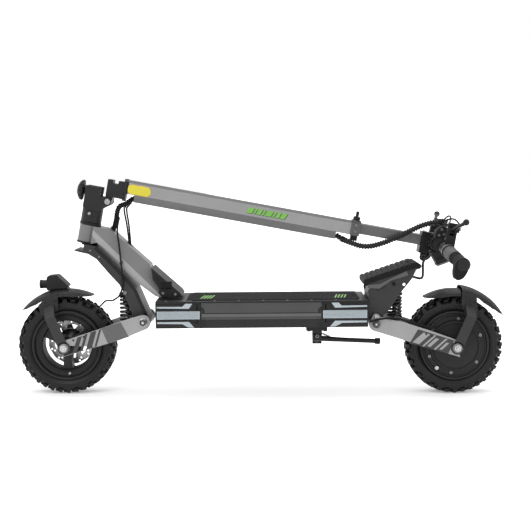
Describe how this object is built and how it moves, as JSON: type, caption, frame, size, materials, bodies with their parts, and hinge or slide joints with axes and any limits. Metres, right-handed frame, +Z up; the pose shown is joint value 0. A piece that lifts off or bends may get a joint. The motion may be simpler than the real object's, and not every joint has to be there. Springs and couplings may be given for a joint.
{
  "type": "folding electric kick scooter",
  "caption": "Folding electric kick scooter, stored folded: deck with side lights, sprung swing arms, hub motor wheel, telescopic stem, brake levers, kickstand.",
  "frame": {"origin": "on the floor, half way between the two axles, on the centre plane", "axes": "+X towards the driven rear wheel, +Y to the rider's right, +Z up"},
  "size_m": [1.2742, 0.6108, 0.5624],
  "materials": {
    "tyre": "matt moulded rubber",
    "wheel_black": "satin black powder coat",
    "steel": "brushed",
    "arm_silver": "satin silver",
    "black_metal": "satin black",
    "black_plastic": "fine grain",
    "stem_grey": "satin titanium grey",
    "neck_grey": "satin titanium grey",
    "dark_metal": "satin graphite",
    "tube_grey": "anodised",
    "deck_grey": "satin graphite",
    "rubber": "matt",
    "mat": "ribbed",
    "lens": "frosted light guide",
    "battery": "shrink sleeve",
    "controller": "cast",
    "horn_red": "smooth"
  },
  "bodies": {
    "frame": {"front_end_cap": "black_plastic", "rear_end_cap": "black_plastic", "front_side_lights": "lens", "rear_side_lights": "lens", "deck_tray": "deck_grey", "deck_lid": "deck_grey", "deck_mat": "mat", "battery_pack": "battery", "motor_controller": "controller", "neck": "neck_grey", "neck_cover": "black_plastic", "rear_bracket": "dark_metal", "footrest_pad": "rubber", "stem_hose": "rubber", "sensor_cables": "rubber", "motor_cable": "rubber"},
    "steerer": {"fork": "dark_metal", "hinge_base": "dark_metal", "fold_pin": "steel", "brake_hose": "rubber"},
    "lock_knob": {"lock_knob": "black_plastic"},
    "stem": {"stem_hinge_block": "dark_metal", "stem_tube": "stem_grey", "height_clamp": "black_metal"},
    "clamp_lever": {"clamp_lever": "black_metal"},
    "handlebar": {"inner_stem": "tube_grey", "handlebar": "black_metal", "grip_left": "rubber", "grip_right": "rubber", "brake_perch_left": "black_metal", "brake_perch_right": "black_metal", "display_unit": "black_plastic", "throttle_pod": "black_plastic", "bar_hose": "rubber"},
    "brake_lever_left": {"brake_lever_left": "black_metal"},
    "brake_lever_right": {"brake_lever_right": "black_metal"},
    "throttle_lever": {"throttle_lever": "black_plastic"},
    "horn_button": {"horn_button": "horn_red"},
    "latch_hook": {"latch_hook": "steel"},
    "front_arm": {"front_arm": "arm_silver", "front_axle": "steel", "front_mudguard": "black_plastic", "headlight": "black_plastic", "caliper": "black_metal"},
    "front_wheel": {"front_tyre": "tyre", "front_rim": "wheel_black", "brake_disc": "steel"},
    "front_shock_upper": {"front_shock_body": "black_metal", "front_spring": "black_metal"},
    "front_shock_lower": {"front_shock_rod": "steel"},
    "rear_arm": {"rear_arm": "arm_silver", "rear_axle": "steel", "rear_mudguard": "black_plastic"},
    "rear_wheel": {"rear_tyre": "tyre", "hub_motor": "wheel_black"},
    "rear_shock_upper": {"rear_shock_body": "black_metal", "rear_spring": "black_metal"},
    "rear_shock_lower": {"rear_shock_rod": "steel"},
    "kickstand": {"kickstand_leg": "black_metal"},
    "charge_port_cap": {"charge_port_cap": "rubber"}
  },
  "joints": [
    {"name": "steering", "type": "hinge", "parent": "frame", "child": "steerer", "pos_m": [-0.4416, 0, 0.4684], "axis": [0.1788, 0, 0.9839], "range_deg": [-40, 40], "deforming": ["sensor_cables", "stem_hose"]},
    {"name": "lock_slide", "type": "slide", "parent": "steerer", "child": "lock_knob", "axis": [-0.9839, 0, 0.1788], "range_m": [0, 0.01]},
    {"name": "stem_fold", "type": "hinge", "parent": "steerer", "child": "stem", "pos_m": [-0.3976, 0, 0.5036], "axis": [0, -1, 0], "range_deg": [0, 90]},
    {"name": "clamp_lever_swing", "type": "hinge", "parent": "stem", "child": "clamp_lever", "pos_m": [0.25194, 0, 0.45925], "axis": [0, -1, 0], "range_deg": [0, 90]},
    {"name": "stem_height", "type": "slide", "parent": "stem", "child": "handlebar", "axis": [0.9839, 0, -0.1788], "range_m": [-0.03, 0.04], "deforming": ["bar_hose"]},
    {"name": "brake_left", "type": "hinge", "parent": "handlebar", "child": "brake_lever_left", "pos_m": [0.47859, -0.142, 0.43127], "axis": [0.9839, 0, -0.1788], "range_deg": [0, 18], "stiffness_Nm_per_rad": 0.6, "springref_deg": -11.46},
    {"name": "brake_right", "type": "hinge", "parent": "handlebar", "child": "brake_lever_right", "pos_m": [0.47859, 0.142, 0.43127], "axis": [-0.9839, 0, 0.1788], "range_deg": [0, 18], "stiffness_Nm_per_rad": 0.6, "springref_deg": -11.46},
    {"name": "throttle", "type": "hinge", "parent": "handlebar", "child": "throttle_lever", "pos_m": [0.46733, 0.106, 0.35811], "axis": [0, -1, 0], "range_deg": [0, 20], "stiffness_Nm_per_rad": 0.06, "springref_deg": -17.19},
    {"name": "horn_press", "type": "slide", "parent": "handlebar", "child": "horn_button", "axis": [-0.9839, 0, 0.1788], "range_m": [0, 0.003], "stiffness_N_per_m": 200, "springref_m": -0.003},
    {"name": "hook_swing", "type": "hinge", "parent": "handlebar", "child": "latch_hook", "pos_m": [0.46602, 0, 0.37999], "axis": [0, -1, 0], "range_deg": [0, 80]},
    {"name": "front_arm_swing", "type": "hinge", "parent": "steerer", "child": "front_arm", "pos_m": [-0.3035, 0, 0.194], "axis": [0, 1, 0], "range_deg": [0, 10], "stiffness_Nm_per_rad": 400, "springref_deg": -5.73, "deforming": ["brake_hose"]},
    {"name": "front_wheel_spin", "type": "hinge", "parent": "front_arm", "child": "front_wheel", "pos_m": [-0.508, 0, 0.1275], "axis": [0, 1, 0], "continuous": true},
    {"name": "front_shock_swing", "type": "hinge", "parent": "steerer", "child": "front_shock_upper", "pos_m": [-0.352, 0, 0.268], "axis": [0, 1, 0], "range_deg": [0, 1]},
    {"name": "front_shock_slide", "type": "slide", "parent": "front_shock_upper", "child": "front_shock_lower", "axis": [0, 0, 1], "range_m": [0, 0.01], "deforming": ["front_spring"]},
    {"name": "rear_arm_swing", "type": "hinge", "parent": "frame", "child": "rear_arm", "pos_m": [0.298, 0, 0.19], "axis": [0, -1, 0], "range_deg": [0, 10], "stiffness_Nm_per_rad": 400, "springref_deg": -5.73, "deforming": ["motor_cable"]},
    {"name": "rear_wheel_spin", "type": "hinge", "parent": "rear_arm", "child": "rear_wheel", "pos_m": [0.508, 0, 0.1275], "axis": [0, 1, 0], "continuous": true},
    {"name": "rear_shock_swing", "type": "hinge", "parent": "frame", "child": "rear_shock_upper", "pos_m": [0.353, 0, 0.268], "axis": [0, -1, 0], "range_deg": [0, 0.5]},
    {"name": "rear_shock_slide", "type": "slide", "parent": "rear_shock_upper", "child": "rear_shock_lower", "axis": [0, 0, 1], "range_m": [0, 0.012], "deforming": ["rear_spring"]},
    {"name": "kickstand_swing", "type": "hinge", "parent": "frame", "child": "kickstand", "pos_m": [0.14581, -0.066, 0.15215], "axis": [0.0033, 0.9052, -0.425], "range_deg": [0, 99]},
    {"name": "port_cap_swing", "type": "hinge", "parent": "frame", "child": "charge_port_cap", "pos_m": [-0.243, -0.059, 0.296], "axis": [-1, 0, 0], "range_deg": [0, 150]}
  ],
  "couplings": [
    {"joint": "front_shock_swing", "follows": "front_arm_swing", "ratio": 0.076},
    {"joint": "front_shock_slide", "follows": "front_arm_swing", "m_per_rad": 0.049},
    {"joint": "rear_shock_swing", "follows": "rear_arm_swing", "ratio": 0.0154},
    {"joint": "rear_shock_slide", "follows": "rear_arm_swing", "m_per_rad": 0.0552}
  ]
}
